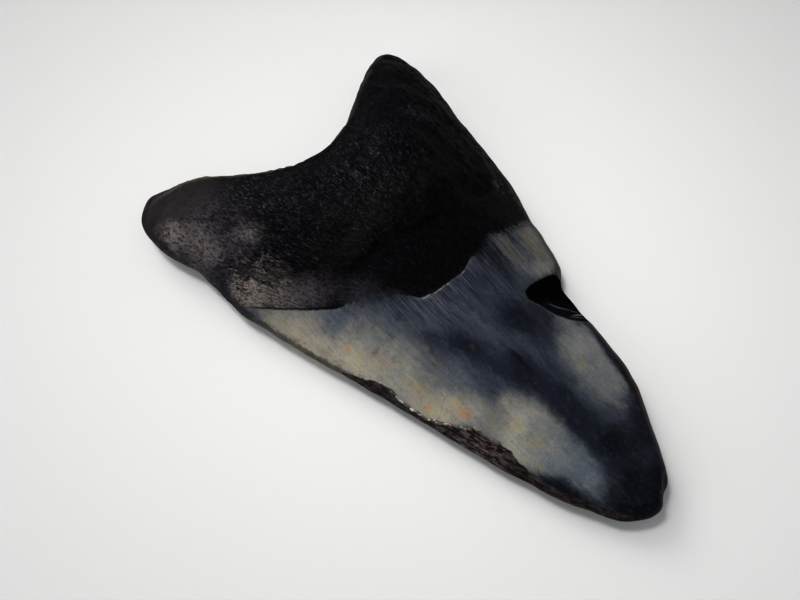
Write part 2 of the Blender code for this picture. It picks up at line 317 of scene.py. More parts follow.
def faces_of_tooth(across, down, sides):
    """The inner (upper) and the outer (lower) face, as grids of points, with each one's zones."""
    place = plan(across, down, sides)
    from_edge = np.minimum.reduce([distance_to(side, place) for side in sides])
    rim = quarter_round(from_edge, through(EDGE_ROUND, down))

    edge, half = through(EDGE_HEIGHT, down), through(EDGE_HALF, down)
    bulge = 1 - np.abs(across) ** through(FULLNESS, down)
    rise = half + (through(CREST, down) - edge - half) * bulge
    from_base, from_left = distance_to(sides[0], place), distance_to(sides[3], place)
    zones = {"from_edge": from_edge, "from_base": from_base, "from_left": from_left}
    rise += inner_relief(place, zones)
    facet = FACET_AT[2] + (place - FACET_AT[:2]) @ FACET_SLOPE
    zones["facet"] = rise + edge - facet
    inner = edge + rim * np.maximum(soft_least(rise, facet - edge, FACET_SOFT), half / 2)

    flat = through(FLAT, down)
    away = np.clip((np.abs(across) - flat) / (1 - flat), 0, 1) ** 2
    lift = np.clip((down - TIP_LIFTS_FROM) / (1 - TIP_LIFTS_FROM), 0, 1) ** 2
    under = (edge - half) * (1 - (1 - away) * (1 - lift))
    neck = NECK_UNDER_AT + NECK_UNDER_CURVE * place[..., 0] ** 2
    under += NECK_GROOVE * hump(place[..., 1] - neck, NECK_GROOVE_RUN)
    outer = under + (edge - under) * (1 - rim)
    roll = np.where(place[..., 1] < BROKEN_WIDTH[-1][0], BROKEN_AND_SHADED_ROLL - from_left, OUTSIDE)
    below = dict(zones, enamel=neck - place[..., 1], bone=place[..., 1] - neck - NECK_UNDER_BAND, broken=roll,
                 flaked=np.zeros_like(roll), from_base=np.full_like(roll, -OUTSIDE))

    place[..., 0] += EDGE_WOBBLE * wavy(place, EDGE_WOBBLE_SIZE, seed=11)
    return np.dstack([place, inner]), zones, np.dstack([place, outer]), below


def grid():
    """Across from -1 to 1 and down from 0 to 1, closer together near the edges."""
    columns = -np.cos(np.linspace(0, math.pi, COLUMNS + 1))
    turn = 1 - np.cos(np.linspace(0, math.pi / 2, ROWS_AT_ENDS + 1))
    body = np.linspace(ENDS_SHARE, 1 - ENDS_SHARE, ROWS + 1)
    rows = np.concatenate([ENDS_SHARE * turn[:-1], body, 1 - ENDS_SHARE * turn[-2::-1]])
    return np.meshgrid(columns, rows, indexing="ij")


def sheet(shape, points, zones, layers, upward):
    """Adds a grid of points to a bmesh as quads that face up or down, with their zones' values."""
    verts = [[shape.verts.new(point) for point in column] for column in points]
    for name, layer in layers.items():
        values = zones[name]
        for column, column_values in zip(verts, values):
            for vert, value in zip(column, column_values):
                vert[layer] = float(value)
    for left, right in zip(verts, verts[1:]):
        for a, b, c, d in zip(left, left[1:], right[1:], right):
            shape.faces.new((a, b, c, d) if upward else (d, c, b, a))


ZONES = ("enamel", "bone", "broken", "flaked", "facet", "from_edge", "from_base")


def bare_tooth():
    """The whole surface as one closed mesh, which carries the zones as attributes."""
    across, down = grid()
    inner, zones, outer, below = faces_of_tooth(across, down, outline_sides())
    middle = (inner.min((0, 1)) + inner.max((0, 1))) / 2
    middle[2] = 0
    shape = bmesh.new()
    layers = {name: shape.verts.layers.float.new(name) for name in ZONES}
    sheet(shape, (inner - middle) * MM, zones, layers, upward=True)
    sheet(shape, (outer - middle) * MM, below, layers, upward=False)
    bmesh.ops.remove_doubles(shape, verts=shape.verts, dist=1e-6)
    bmesh.ops.recalc_face_normals(shape, faces=shape.faces)
    mesh = bpy.data.meshes.new("tooth_bare")
    shape.to_mesh(mesh)
    shape.free()
    bare = bpy.data.objects.new("tooth_bare", mesh)
    bpy.context.scene.collection.objects.link(bare)
    return bare, middle


# ---------------------------------------------------------------------------
# Nodes, written as Python sums


class Wire:
    """A node's output, with the sums on it written as Python. Vectors and colours don't take part."""

    def __init__(self, board, socket):
        self.board, self.socket = board, socket

    def sum_of(self, operation, one, other):
        return self.board.node("ShaderNodeMath", {"operation": operation}, **{"0": one, "1": other})

    def __add__(self, other):
        return self.sum_of("ADD", self, other)

    def __sub__(self, other):
        return self.sum_of("SUBTRACT", self, other)

    def __rsub__(self, other):
        return self.sum_of("SUBTRACT", other, self)

    def __mul__(self, other):
        return self.sum_of("MULTIPLY", self, other)

    def __truediv__(self, other):
        return self.sum_of("DIVIDE", self, other)

    __radd__, __rmul__ = __add__, __mul__

    def at_least(self, other):
        return self.sum_of("MAXIMUM", self, other)

    def from_to(self, low, high):
        """0 up to the low value and 1 from the high one, with a smooth rise between.

        The low value may be the greater, and then it falls from 1 to 0.
        """
        return self.board.node(
            "ShaderNodeMapRange",
            {"interpolation_type": "SMOOTHSTEP"},
            **{"0": self, "1": low, "2": high, "3": 0.0, "4": 1.0},
        )


class Board:
    """A node tree with one method that adds any node."""

    def __init__(self, tree):
        self.tree = tree

    def node(self, kind, settings=None, out=0, **values):
        made = self.tree.nodes.new(kind)
        for name, value in (settings or {}).items():
            setattr(made, name, value)
        for name, value in values.items():
            socket = made.inputs[int(name)] if name.isdigit() else made.inputs[name.replace("_", " ")]
            if isinstance(value, Wire):
                self.tree.links.new(value.socket, socket)
            else:
                socket.default_value = value
        return Wire(self, made.outputs[out])

    def mix(self, share, low, high):
        """A mix of two colours, by share."""
        settings = {"data_type": "RGBA", "blend_type": "MIX", "clamp_factor": True}
        return self.node("ShaderNodeMix", settings, out=2, **{"0": share, "6": low, "7": high})

    def number_mix(self, share, low, high):
        return self.node("ShaderNodeMix", {"data_type": "FLOAT"}, **{"0": share, "2": low, "3": high})

    def vector(self, operation, *values, out=0):
        values = {str(n): value for n, value in enumerate(values)}
        return self.node("ShaderNodeVectorMath", {"operation": operation}, out=out, **values)

    def length(self, place):
        return self.vector("LENGTH", place, out=1)

    def scaled(self, place, size):
        return self.node("ShaderNodeVectorMath", {"operation": "SCALE"}, Vector=place, Scale=size)

    def turned(self, place, at=(0, 0, 0), turn=0.0, size=(1, 1, 1)):
        """The place as seen from a spot, turned by some degrees and counted in its own sizes."""
        return self.node("ShaderNodeMapping", {"vector_type": "TEXTURE"}, Vector=place, Location=at,
                         Rotation=(0, 0, math.radians(turn)), Scale=size)

    def noise(self, place, size, detail=2.0, rough=0.5, out=0, seed=0.0):
        """Soft noise in lumps of a size, which may differ along x, y and z. Out 0 is a number, 1 a colour."""
        if isinstance(size, (int, float)):
            size = (size, size, size)
        spot = self.turned(place, at=(seed, -seed, 2 * seed), size=size)
        return self.node("ShaderNodeTexNoise", {"noise_dimensions": "3D"}, out=out, Vector=spot, Scale=1.0,
                         Detail=detail, Roughness=rough)


def colour(red, green, blue):
    """A colour by its screen values, 0 to 255, as light."""
    def light(code):
        share = code / 255
        return share / 12.92 if share <= 0.04045 else ((share + 0.055) / 1.055) ** 2.4

    return light(red), light(green), light(blue), 1.0


# ---------------------------------------------------------------------------
# The fine relief


def add_relief(bare, finish):
    """Bone weave, pores and wrinkles, pushed out of or into the surface."""
    tree = bpy.data.node_groups.new("bone relief", "GeometryNodeTree")
    tree.interface.new_socket("Geometry", in_out="INPUT", socket_type="NodeSocketGeometry")
    sizes = {
        "Weave size": BONE_WEAVE[0], "Weave depth": BONE_WEAVE[1],
        "Pore spacing": BONE_PORES[0], "Pore depth": BONE_PORES[1],
        "Wrinkle size": BONE_WRINKLES[0], "Wrinkle depth": BONE_WRINKLES[1],
    }
    for name in sizes:
        tree.interface.new_socket(name, in_out="INPUT", socket_type="NodeSocketFloat")
    tree.interface.new_socket("Finish", in_out="INPUT", socket_type="NodeSocketMaterial")
    tree.interface.new_socket("Geometry", in_out="OUTPUT", socket_type="NodeSocketGeometry")
    board = Board(tree)
    group = tree.nodes.new("NodeGroupInput")
    given = {socket.name: Wire(board, socket) for socket in group.outputs}

    def zone(name):
        return board.node("GeometryNodeInputNamedAttribute", {"data_type": "FLOAT"}, Name=name)

    def counted_in(place, size):
        return board.vector("DIVIDE", place, board.node("ShaderNodeCombineXYZ", X=size, Y=size, Z=size))

    def in_and_out(place, size, depth):
        soft = board.node("ShaderNodeTexNoise", {"noise_dimensions": "3D"}, Vector=counted_in(place, size),
                          Scale=1.0, Detail=2.0)
        return (soft - 0.5) * 2 * depth

    place = board.scaled(board.node("GeometryNodeInputPosition"), 1 / MM)
    stretched = board.vector("MULTIPLY", place, RELIEF_STRETCH)
    in_bone = zone("bone").from_to(0.0, RELIEF_FULL_IN_BONE)
    in_bone = in_bone * zone("from_edge").from_to(0.0, RELIEF_FULL_FROM_EDGE)

    weave = in_and_out(stretched, given["Weave size"], given["Weave depth"])
    wrinkles = in_and_out(stretched, given["Wrinkle size"], given["Wrinkle depth"])
    cells = counted_in(place, given["Pore spacing"])
    near = board.node("ShaderNodeTexVoronoi", {"voronoi_dimensions": "3D"}, Vector=cells, Scale=1.0)
    pores = near.from_to(PORE_RIM, PORE_FLOOR) * given["Pore depth"]
    push = in_bone * (weave + wrinkles - pores) * MM

    offset = board.scaled(board.node("GeometryNodeInputNormal"), push)
    moved = board.node("GeometryNodeSetPosition", Geometry=given["Geometry"], Offset=offset)
    whole = board.node("GeometryNodeRealizeInstances", Geometry=moved)
    dressed = board.node("GeometryNodeSetMaterial", Geometry=whole, Material=given["Finish"])
    tree.links.new(dressed.socket, tree.nodes.new("NodeGroupOutput").inputs[0])

    modifier = bare.modifiers.new("bone relief", "NODES")
    modifier.node_group = tree
    for item in tree.interface.items_tree:
        if item.in_out == "INPUT" and item.name in sizes:
            modifier[item.identifier] = sizes[item.name]
        elif item.in_out == "INPUT" and item.name == "Finish":
            modifier[item.identifier] = finish


def finished_tooth():
    """The tooth with its relief and its finish, as one plain mesh."""
    bare, middle = bare_tooth()
    add_relief(bare, fossil_finish(middle))
    depsgraph = bpy.context.evaluated_depsgraph_get()
    mesh = bpy.data.meshes.new_from_object(bare.evaluated_get(depsgraph))
    bpy.data.objects.remove(bare)
    keep_in_box(mesh)
    mesh.name = "fossil_tooth"
    mesh.shade_smooth()
    tooth = bpy.data.objects.new("fossil_tooth", mesh)
    bpy.context.scene.collection.objects.link(tooth)
    return tooth


def keep_in_box(mesh):
    """Draws the surface in where its fine relief would stand out of the solid's box."""
    points = np.empty(3 * len(mesh.vertices))
    mesh.vertices.foreach_get("co", points)
    points = points.reshape(-1, 3)
    low, high = np.array(cad_box[0]), np.array(cad_box[1])
    middle, half = (low + high) / 2, (high - low) / 2
    middle[2], half[2] = low[2], high[2] - low[2]
    reach = np.abs(points - middle).max(0)
    points = middle + (points - middle) * np.minimum(1, half / reach)
    points[:, 2] = np.maximum(points[:, 2], low[2])
    mesh.vertices.foreach_set("co", points.ravel())
    mesh.update()


# ---------------------------------------------------------------------------
# The finish

SLATE = colour(63, 68, 79)
NAVY = colour(25, 29, 41)
INK = colour(15, 16, 23)
CREAM = colour(172, 163, 143)
OFF_WHITE = colour(160, 158, 148)
PALE = colour(146, 145, 138)
PEARL = colour(120, 123, 124)
MIST = colour(101, 108, 116)
BLUE_GREY = colour(78, 84, 95)
WARM_GREY = colour(102, 101, 98)
TAN = colour(122, 110, 92)
RUST = colour(184, 134, 78)
YELLOW = colour(160, 145, 96)
OLIVE = colour(84, 74, 46)
BROWN_EDGE = colour(37, 25, 18)
BONE_BLACK = colour(4, 3, 7)
BONE_GREY = colour(84, 80, 86)
GLINT = colour(118, 114, 120)
BONE_BROWN = colour(44, 38, 27)
WORN_SHEEN_GREY = colour(132, 125, 120)
RIDGE_HIGHLIGHT_TAN = colour(130, 117, 98)
FACET_BROWN = colour(46, 43, 43)
ROLLED_EDGE_SHADE = colour(34, 35, 38)
BROKEN_BROWN = colour(32, 25, 23)
BROKEN_GREY = colour(108, 97, 99)
FRESH_EDGE_AND_GLINT = colour(205, 200, 192)
CHIP_BLACK_SHADE = colour(3, 3, 5)
CHIP_GREY = colour(112, 112, 113)
CHIP_NAVY = colour(19, 21, 29)

# Soft clouds of colour, from the first laid down to the last: colour, middle, half sizes, turn, strength and
# how far out the full colour runs, as a share of the half sizes.
ENAMEL_CLOUDS = [
    (PALE, (-28.5, 60.0), (16.0, 38.0), 16, 1.0, 0.1),
    (BLUE_GREY, (-15.5, 61.0), (5.0, 9.0), 8, 0.45, 0.1),
    (CREAM, (-31.0, 75.0), (5.5, 11.0), 17, 0.6, 0.2),
    (CREAM, (-26.5, 62.5), (4.2, 8.0), 15, 0.7, 0.1),
    (BLUE_GREY, (-23.0, 70.5), (8.5, 4.8), -38, 0.85, 0.1),
    (CREAM, (-20.5, 43.0), (3.8, 9.0), 18, 0.75, 0.2),
    (PALE, (-20.5, 54.5), (5.0, 8.0), 15, 0.45, 0.1),
    (MIST, (-15.0, 43.0), (5.0, 9.0), 14, 0.4, 0.1),
    (OFF_WHITE, (-17.0, 38.5), (4.5, 7.0), 20, 0.6, 0.1),
    (BLUE_GREY, (-8.0, 55.0), (9.0, 4.0), -10, 0.5, 0.1),
    (OFF_WHITE, (-11.6, 26.8), (8.4, 12.0), 14, 0.88, 0.3),
    (MIST, (-9.0, 18.0), (6.0, 13.0), 8, 0.95, 0.4),
    (PALE, (-10.5, 23.0), (3.8, 8.0), 14, 0.5, 0.1),
    (PEARL, (10.5, 29.5), (8.6, 15.0), -16, 0.97, 0.4),
    (PALE, (11.0, 33.5), (4.5, 5.0), -20, 0.4, 0.1),
    (BLUE_GREY, (18.5, 53.5), (8.5, 9.5), 0, 0.7, 0.2),
    (WARM_GREY, (14.9, 57.0), (3.3, 9.0), 0, 0.9, 0.3),
    (WARM_GREY, (22.5, 56.0), (5.4, 9.0), -8, 0.95, 0.4),
    (TAN, (22.8, 57.5), (2.8, 4.6), -12, 0.45, 0.2),
    (PALE, (18.5, 51.5), (5.5, 3.0), 0, 0.45, 0.2),
    (NAVY, (4.5, 44.0), (6.0, 9.0), 10, 0.9, 0.15),
    (NAVY, (9.5, 43.5), (3.0, 6.0), 0, 0.7, 0.1),
    (NAVY, (-12.6, 53.0), (2.2, 5.0), 25, 0.6, 0.1),
    (NAVY, (-9.0, 46.5), (3.6, 8.5), 16, 0.95, 0.15),
    (NAVY, (-7.0, 40.0), (3.0, 5.0), 24, 0.7, 0.1),
    (NAVY, (-4.0, 36.0), (4.0, 8.0), 8, 0.95, 0.2),
    (NAVY, (9.3, 58.0), (3.4, 10.5), 0, 0.75, 0.2),
    (NAVY, (-1.8, 21.0), (5.0, 22.0), -2, 0.82, 0.35),
    (BLUE_GREY, (-3.4, 46.5), (1.7, 8.5), 4, 0.8, 0.1),
    (INK, (-3.3, 38.5), (0.9, 5.5), 2, 0.5, 0.1),
    (BLUE_GREY, (0.8, 38.0), (2.2, 6.0), -5, 0.5, 0.2),
    (NAVY, (17.6, 23.5), (6.0, 15.5), -14, 0.97, 0.5),
    (NAVY, (15.5, 18.0), (5.5, 8.0), -25, 0.9, 0.4),
    # These two ink clouds carry the chip's painted shade out onto the enamel beside it.
    (INK, (17.5, 38.0), (3.0, 2.5), -40, 0.7, 0.3),
    (INK, (12.0, 42.0), (3.6, 1.9), -42, 0.75, 0.2),
    (NAVY, (9.5, 11.5), (6.5, 9.0), -30, 0.9, 0.45),
    (INK, (-14.5, 13.0), (4.6, 10.0), 20, 0.9, 0.3),
    (INK, (2.0, 13.0), (6.0, 6.0), 0, 0.8, 0.3),
    (INK, (-2.0, 3.5), (16.0, 8.5), -6, 0.92, 0.35),
]
# Small stains and specks on the enamel, nudged out of round.
STAINS = [
    (RUST, (-17.4, 38.5), (1.3, 2.2), 30, 0.6, 0.1),
    (RUST, (-21.3, 44.7), (1.0, 1.3), 0, 0.45, 0.1),
    (RUST, (-25.4, 65.2), (1.1, 1.5), 0, 0.45, 0.1),
    (RUST, (-22.0, 57.5), (2.5, 4.5), 10, 0.1, 0.1),
    (YELLOW, (-20.5, 49.0), (2.2, 5.0), 15, 0.3, 0.1),
    (YELLOW, (-16.8, 40.5), (1.6, 3.0), 15, 0.4, 0.1),
    (YELLOW, (-12.0, 29.5), (2.0, 3.0), 10, 0.3, 0.1),
    (YELLOW, (-11.0, 24.0), (1.6, 2.6), 10, 0.3, 0.1),
    (YELLOW, (7.5, 29.5), (3.0, 1.3), 25, 0.3, 0.1),
    (OLIVE, (-21.8, 60.4), (1.6, 1.4), 0, 0.5, 0.0),
    (OLIVE, (-20.3, 56.5), (1.0, 0.9), 0, 0.5, 0.0),
    (OLIVE, (-15.4, 49.4), (0.8, 1.0), 0, 0.5, 0.1),
    (OLIVE, (7.5, 46.5), (0.7, 0.7), 0, 0.5, 0.1),
    (OLIVE, (-8.0, 46.5), (0.6, 0.9), 0, 0.6, 0.1),
    (OFF_WHITE, (-27.1, 62.4), (2.2, 1.4), 0, 0.5, 0.2),
    (INK, (18.0, 61.5), (0.9, 3.6), 0, 0.6, 0.2),
    (INK, (12.3, 58.5), (0.7, 7.5), 0, 0.6, 0.2),
    (INK, (8.6, 56.5), (0.6, 7.0), 0, 0.45, 0.2),
]
# Where the bone is grey from wear, partly painted sheen on the left lobe and the left end of the neck.
WORN_AND_SHEEN_CLOUDS = [
    (BONE_GREY, (-33.0, 106.0), (13.5, 24.0), 6, 0.72, 0.1),
    (WORN_SHEEN_GREY, (-36.6, 113.5), (3.0, 7.0), 12, 0.95, 0.1),
    (WORN_SHEEN_GREY, (-33.8, 105.5), (4.2, 8.5), 14, 0.55, 0.1),
    (WORN_SHEEN_GREY, (-26.0, 98.5), (3.0, 5.0), 20, 0.45, 0.1),
    (WORN_SHEEN_GREY, (-29.0, 84.0), (6.0, 11.0), 36, 0.62, 0.1),
    (WORN_SHEEN_GREY, (-33.0, 89.0), (3.6, 7.5), 14, 1.0, 0.3),
    (BONE_GREY, (-24.0, 78.0), (5.0, 8.5), 42, 0.75, 0.1),
    (BONE_GREY, (-17.0, 71.5), (4.5, 6.5), 55, 0.4, 0.0),
]
# The thin ripples that cross the lower side of the chip, drawn as grey lines of painted sheen: middle,
# half-sizes, turn and strength.
CHIP_RIPPLES = [
    ((17.0, 42.3), (2.4, 1.0), -42, 0.45),
    ((15.2, 42.9), (3.6, 0.35), -38, 0.7),
    ((17.9, 41.3), (2.6, 0.3), -42, 0.9),
    ((18.4, 39.2), (2.6, 0.35), -14, 1.0),
    ((17.2, 38.8), (2.8, 0.3), -30, 0.5),
]
# Where the light fibres of the bone show most, partly painted glints: middle and half sizes.
FIBROUS = [((0.0, 90.0), (26.0, 16.0)), ((-22.0, 98.0), (18.0, 22.0)), ((24.0, 98.0), (5.0, 5.0))]

# Where else something happens on the surface: middle, half sizes, turn and how far out it is full.
STREAKED = ((3.0, 58.0), (24.0, 30.0), 0, 0.6)
CREASED = ((-30.5, 91.0), (6.0, 12.0), 38, 0.3)
BROWN_BAND = ((0.0, 81.0), (26.0, 7.0), 0, 0.3)
NOTCH_HIGHLIGHT = ((-22.0, 114.0), (24.0, 18.0), 0, 0.5)
SOFT_LINE = ((-15.0, 68.0), (9.0, 8.0), -35, 0.4)
MOTTLED_LINE = ((18.0, 63.0), (15.0, 8.0), 0, 0.6)
RIM_HIGHLIGHT = ((-3.5, 60.0), (9.0, 6.0), 0, 0.6)
DARK_LINE = ((-28.0, 79.0), (12.0, 14.0), 0, 0.4)
LEFT_ROLL_SHADE = ((-39.0, 91.0), (8.0, 10.0), 17, 0.5)
LEFT_LINE = ((-34.0, 72.0), (14.0, 17.0), 17, 0.7)
LEFT_RUST = ((-30.0, 66.0), (10.0, 12.0), 17, 0.7)
RIGHT_SHADE = ((20.0, 24.0), (12.0, 28.0), -14, 0.6)
RIGHT_BROWN = ((32.0, 34.0), (40.0, 46.0), 0, 0.35)
ROOT_BROWN = ((38.0, 92.0), (14.0, 34.0), 0, 0.7)
RIGHT_STAIN = ((28.5, 71.0), (3.4, 7.0), 5, 0.1)
RIGHT_RUST = ((27.8, 73.0), (1.6, 3.2), 0, 0.1)
OPEN_BREAK = ((-18.5, 34.0), (6.0, 12.0), 17, 0.4)
BRIGHT_BREAK = ((-21.5, 42.0), (7.0, 16.0), 17, 0.3)
LOWER_SCAR = ((16.3, 41.9), (8.5, 4.4), -42, 0.4)
RIPPLE_SOFT = 0.1

FOLD_TURN, BREAK_TURN = -52, 17
# The soft noise that pushes clouds and stains out of round: its size and how far it reaches.
STIRRED = ((7.0, 10.0, 7.0), (6.5, 10.0, 0.0))
NUDGED = (1.1, (2.6, 2.6, 0.0))
# The bone's fibres fan out from a y, with the least run from it and the run where their width is as given.
FAN_FROM, FAN_LEAST, FAN_WIDTH = 20, 20, 80
THROUGH = 1000  # a cloud's half size in z, so that it reaches right through the tooth
BUMP_DEPTH = 0.4


class Skin:
    """The tooth's surface, as the finish sees it: places on it, its zones, and clouds laid over it."""

    def __init__(self, board, middle):
        self.board = board
        spot = board.node("ShaderNodeTexCoord", out=3)
        self.place = board.turned(spot, at=(-middle[0] * MM, -middle[1] * MM, 0), size=(MM, MM, MM))
        self.stirred = self.pushed_about(*STIRRED, seed=0)
        self.nudged = self.pushed_about(*NUDGED, seed=40)
        x, y, z = (board.node("ShaderNodeSeparateXYZ", out=n, Vector=self.place) for n in range(3))
        spread = (y - FAN_FROM).at_least(FAN_LEAST)
        self.fanned = board.node("ShaderNodeCombineXYZ", X=x / spread * FAN_WIDTH, Y=y, Z=z)

    def pushed_about(self, size, reach, seed):
        """Places pushed aside by soft noise of a size, as far as the reach, to give clouds uneven rims."""
        push = self.board.noise(self.place, size, detail=5.0, rough=0.68, out=1, seed=seed)
        push = self.board.vector("SUBTRACT", push, (0.5, 0.5, 0.5))
        return self.board.vector("MULTIPLY_ADD", push, reach, self.place)

    def zone(self, name):
        settings = {"attribute_type": "GEOMETRY", "attribute_name": name}
        return self.board.node("ShaderNodeAttribute", settings, out=2)

    def cloud(self, where, middle, halves, turn, soft):
        """1 inside the soft share of an oval, falling to 0 at its rim."""
        if turn:
            settings = {"rotation_type": "Z_AXIS"}
            where = self.board.node("ShaderNodeVectorRotate", settings, Vector=where, Center=(*middle, 0),
                                    Angle=math.radians(-turn))
        off = self.board.vector("SUBTRACT", where, (*middle, 0))
        off = self.board.vector("DIVIDE", off, (*halves, THROUGH))
        return self.board.length(off).from_to(1.0, soft)

    def laid(self, under, clouds, where):
        """A colour with clouds of other colours laid over it in turn."""
        for tone, middle, halves, turn, strength, soft in clouds:
            under = self.board.mix(self.cloud(where, middle, halves, turn, soft) * strength, under, tone)
        return under


def enamel_colour(board, skin, streaks):
    """Slate with pale and dark clouds, streaks that come down from the neck, small stains and mottling."""
    blots = board.noise(skin.place, (1.7, 2.6, 1.7), detail=5.0, rough=0.62, seed=11)
    wisps = board.noise(skin.stirred, (0.9, 8.0, 3.0), detail=4.0, rough=0.62, seed=9)
    tints = board.noise(skin.place, (1.3, 1.9, 1.3), detail=3.0, rough=0.6, seed=13)
    grain = board.noise(skin.place, (0.4, 0.6, 0.5), detail=3.0, rough=0.7, seed=3)
    tone = skin.laid(skin.laid(SLATE, ENAMEL_CLOUDS, skin.stirred), STAINS, skin.nudged)
    paleness = board.node("ShaderNodeRGBToBW", Color=tone).from_to(0.03, 0.25)
    under_neck = skin.zone("enamel").from_to(13.0, 2.0) * skin.cloud(skin.place, *STREAKED)
    tone = board.mix(streaks.from_to(0.6, 0.4) * (0.1 + 0.46 * under_neck), tone, INK)
    tone = board.mix(streaks.from_to(0.5, 0.7) * under_neck * 0.15, tone, PALE)
    tone = board.mix(wisps.from_to(0.52, 0.35) * (1 - paleness * 0.8) * 0.36, tone, NAVY)
    tone = board.mix(wisps.from_to(0.55, 0.75) * 0.16, tone, MIST)
    tone = board.mix(blots.from_to(0.45, 0.25) * (0.15 + 0.15 * paleness), tone, SLATE)
    tone = board.mix(blots.from_to(0.52, 0.72) * (0.03 + 0.22 * paleness), tone, OFF_WHITE)
    tone = board.mix(tints.from_to(0.52, 0.7) * paleness * 0.3, tone, YELLOW)
    tone = board.mix(tints.from_to(0.45, 0.3) * (0.08 + 0.22 * paleness), tone, MIST)
    tone = board.mix(grain.from_to(0.5, 0.3) * (0.12 + 0.08 * paleness), tone, NAVY)
    return board.mix(grain.from_to(0.5, 0.7) * (0.03 + 0.1 * paleness), tone, OFF_WHITE)


def bone_colour(board, skin, dashes, weave, ragged):
    """Black bone with short light fibres that fan out from the crown, partly painted glints, painted shade in
    pits and creases, and grey from wear with painted sheen down its left side.
    """
    place, stirred = skin.place, skin.stirred
    fibrous = 0.0
    for middle, halves in FIBROUS:
        fibrous = skin.cloud(stirred, middle, halves, 0, 0.2).at_least(fibrous)
    grit = board.noise(skin.fanned, (0.34, 0.9, 0.6), detail=2.0, rough=0.6, seed=71)
    gathered = board.noise(skin.fanned, (2.6, 4.5, 3.0), detail=2.0, rough=0.6, seed=75).from_to(0.4, 0.62)
    tone = board.mix(weave.from_to(0.5, 0.66) * (0.06 + 0.1 * fibrous), BONE_BLACK, BONE_GREY)
    # Light fibres, partly painted glints.
    tone = board.mix(dashes.from_to(0.54, 0.66) * (0.05 + 0.26 * fibrous), tone, BONE_GREY)
    rub = board.noise(place, (0.45, 0.8, 0.6), detail=3.0, rough=0.7, seed=35).from_to(0.42, 0.58)
    bark = dashes.from_to(0.4, 0.6) * 0.5 + rub * 0.5
    # Grey from wear, with painted sheen where the left lobe and the neck face the light.
    for lighter, middle, halves, turn, strength, soft in WORN_AND_SHEEN_CLOUDS:
        share = skin.cloud(stirred, middle, halves, turn, soft) * strength * (0.36 + 0.78 * bark)
        tone = board.mix(share, tone, lighter)
    # Painted glints on the bone, and painted shade in its pits.
    tone = board.mix(grit.from_to(0.57, 0.7) * (0.08 + 0.4 * fibrous * gathered), tone, GLINT)
    tone = board.mix(grit.from_to(0.46, 0.34) * 0.75, tone, BONE_BLACK)

    # Painted shade in the furrows of the creases across the neck's left end, and a painted highlight on their
    # crests.
    creased = skin.cloud(stirred, *CREASED)
    turned = board.turned(stirred, turn=FOLD_TURN)
    folds = board.noise(turned, (6.0, 1.1, 3.0), detail=2.0, rough=0.55, seed=29)
    furrow_shade = folds.from_to(0.43, 0.49) * folds.from_to(0.55, 0.49)
    crest_highlight = folds.from_to(0.53, 0.59) * folds.from_to(0.66, 0.6)
    tone = board.mix(furrow_shade * creased * 0.9, tone, BONE_BLACK)
    tone = board.mix(crest_highlight * creased * bark * 0.7, tone, WORN_SHEEN_GREY)
    tone = board.mix(skin.cloud(stirred, *BROWN_BAND) * (0.06 + 0.12 * weave), tone, BONE_BROWN)
    flecks = board.noise(place, 0.55, detail=3.0, rough=0.7, seed=27).from_to(0.58, 0.72)
    tone = board.mix(flecks * skin.zone("enamel").from_to(-14.0, -3.0) * 0.6, tone, BONE_BROWN)
    tone = board.mix(skin.zone("facet").from_to(-1.5, 1.5) * 0.6, tone, FACET_BROWN)
    # A painted highlight along the ridge that runs inside the notch.
    from_base = skin.zone("from_base") + ragged * 1.2
    ridge = from_base.from_to(2.0, 3.0) * from_base.from_to(4.4, 3.2) * weave.from_to(0.3, 0.6)
    ridge = ridge * (0.05 + 0.3 * skin.cloud(place, *NOTCH_HIGHLIGHT))
    return board.mix(ridge, tone, RIDGE_HIGHLIGHT_TAN)


def neck_line(board, skin, ragged):
    """Where the enamel begins: crisp in the middle, soft to the left and mottled to the right."""
    soft_line, mottled_line = skin.cloud(skin.place, *SOFT_LINE), skin.cloud(skin.place, *MOTTLED_LINE)
    at_line = skin.zone("enamel") + ragged * (0.6 + 4 * soft_line.at_least(mottled_line))
    in_enamel = board.number_mix(soft_line, at_line.from_to(0.25, 0.5), at_line.from_to(-2.5, 3.5))
    return at_line, board.number_mix(mottled_line, in_enamel, at_line.from_to(-0.5, 2.0))


def line_marked(board, skin, base, at_line, patchy):
    """A painted highlight on the enamel's rim in the middle, and the dark line that it starts from at the
    left.
    """
    # The pale line is a painted highlight on the enamel's step.
    lighter = at_line.from_to(0.2, 0.45) * at_line.from_to(0.9, 0.5) * skin.cloud(skin.place, *RIM_HIGHLIGHT)
    base = board.mix(lighter * patchy * 0.7, base, PALE)
    dark = at_line.from_to(-0.45, -0.1) * at_line.from_to(0.4, 0.0) * skin.cloud(skin.place, *DARK_LINE)
    return board.mix(dark * 0.85, base, BONE_BLACK)


